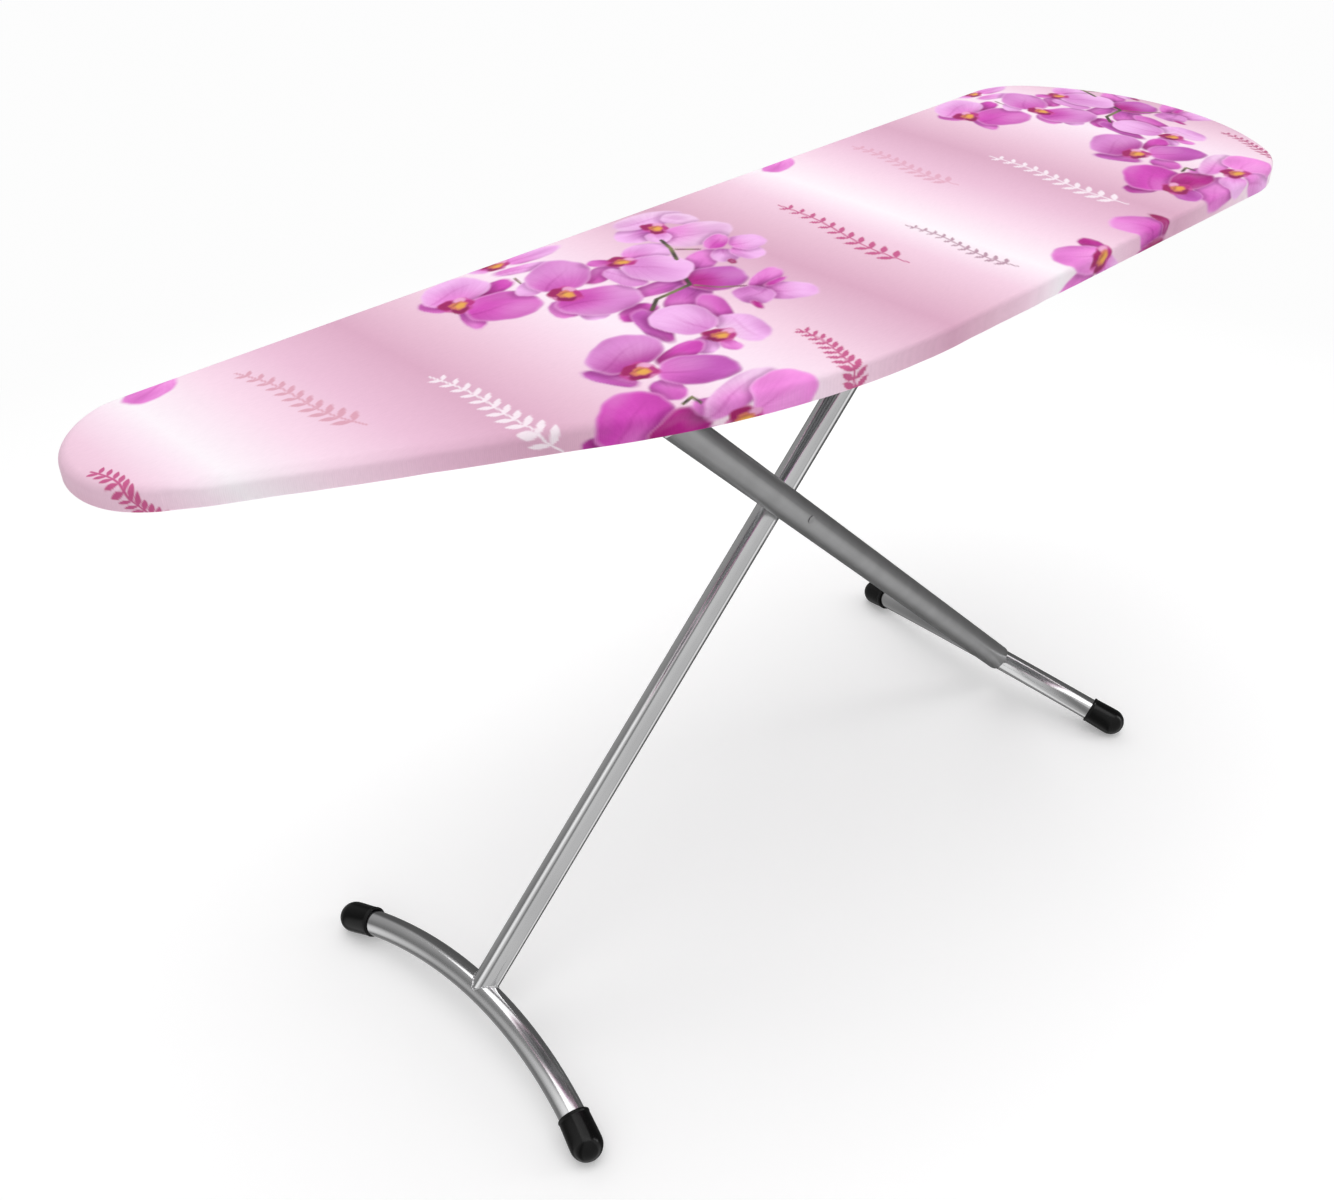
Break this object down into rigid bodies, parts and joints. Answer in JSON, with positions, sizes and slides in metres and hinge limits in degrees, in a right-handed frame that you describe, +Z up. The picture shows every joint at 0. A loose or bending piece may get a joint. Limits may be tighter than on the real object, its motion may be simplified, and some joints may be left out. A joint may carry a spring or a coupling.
{
  "type": "ironing board",
  "caption": "Folding ironing board: padded asymmetric top with a printed pink cloth cover on crossed steel T-legs with arched foot bars.",
  "frame": {"origin": "on the floor under the middle of the outer box of the open board", "axes": "+X along the board towards the heel (the wide end), nose at -X; +Y across the board towards its straight edge; +Z up"},
  "size_m": [1.24, 0.404, 0.648],
  "materials": {
    "cover_fabric": "printed cotton cover, matte, soft weave, pink flower print",
    "pad_foam": "soft off-white foam pad",
    "hem_elastic": "woven elastic",
    "panel_steel": "light grey powder coat on steel mesh",
    "frame_steel": "grey powder coat",
    "rail_aluminium": "plain extruded aluminium",
    "zinc_steel": "bright zinc plate",
    "rivet_steel": "satin steel",
    "nylon": "natural white nylon",
    "grip_plastic": "black moulded plastic",
    "spring_steel": "spring wire",
    "grey_satin": "satin mid-grey metallic coat",
    "chrome_tube": "bright chrome plate",
    "cap_plastic": "glossy black plastic"
  },
  "bodies": {
    "board": {"cover": "cover_fabric", "pad": "pad_foam", "hem_elastic": "hem_elastic", "mesh_panel": "panel_steel", "rim_channel": "frame_steel", "cross_member_nose": "frame_steel", "cross_member_front": "frame_steel", "cross_member_middle": "frame_steel", "cross_member_rear": "frame_steel", "cross_member_heel": "frame_steel", "guide_rail_near": "rail_aluminium", "guide_rail_far": "rail_aluminium", "rail_rivets": "zinc_steel", "top_axle": "zinc_steel", "axle_push_nut": "zinc_steel", "axle_spacers": "nylon", "lock_bushes": "nylon"},
    "height_lock": {"lock_rack": "zinc_steel", "lock_shaft": "zinc_steel", "release_lever": "zinc_steel", "lever_grip": "grip_plastic", "return_spring": "spring_steel"},
    "grey_leg_frame": {"grey_leg": "grey_satin", "grey_leg_crossbar": "grey_satin", "crossbar_bushes": "nylon", "grey_foot_bar": "chrome_tube", "rear_cap_near": "cap_plastic", "rear_cap_far": "cap_plastic", "pivot_rivet": "rivet_steel", "pivot_spacer": "nylon", "pivot_cap_nut": "zinc_steel"},
    "chrome_leg_frame": {"chrome_leg": "chrome_tube", "pivot_bush": "nylon", "chrome_foot_bar": "chrome_tube", "front_cap_near": "cap_plastic", "front_cap_far": "cap_plastic", "slider_bar": "chrome_tube", "glide_near": "nylon", "glide_far": "nylon"}
  },
  "joints": [
    {"name": "leg_fold", "type": "hinge", "parent": "board", "child": "grey_leg_frame", "pos_m": [-0.21968, 0, 0.612], "axis": [0, -1, 0], "range_deg": [-20, 41]},
    {"name": "leg_cross", "type": "hinge", "parent": "grey_leg_frame", "child": "chrome_leg_frame", "pos_m": [-0.032, 0, 0.42563], "axis": [0, -1, 0], "range_deg": [-84, 42]},
    {"name": "lock_release", "type": "hinge", "parent": "board", "child": "height_lock", "pos_m": [0.336, 0, 0.612], "axis": [0, -1, 0], "range_deg": [0, 3.5], "stiffness_Nm_per_rad": 3, "springref_deg": -17.19}
  ],
  "couplings": [
    {"joint": "leg_cross", "follows": "leg_fold", "ratio": -2}
  ]
}
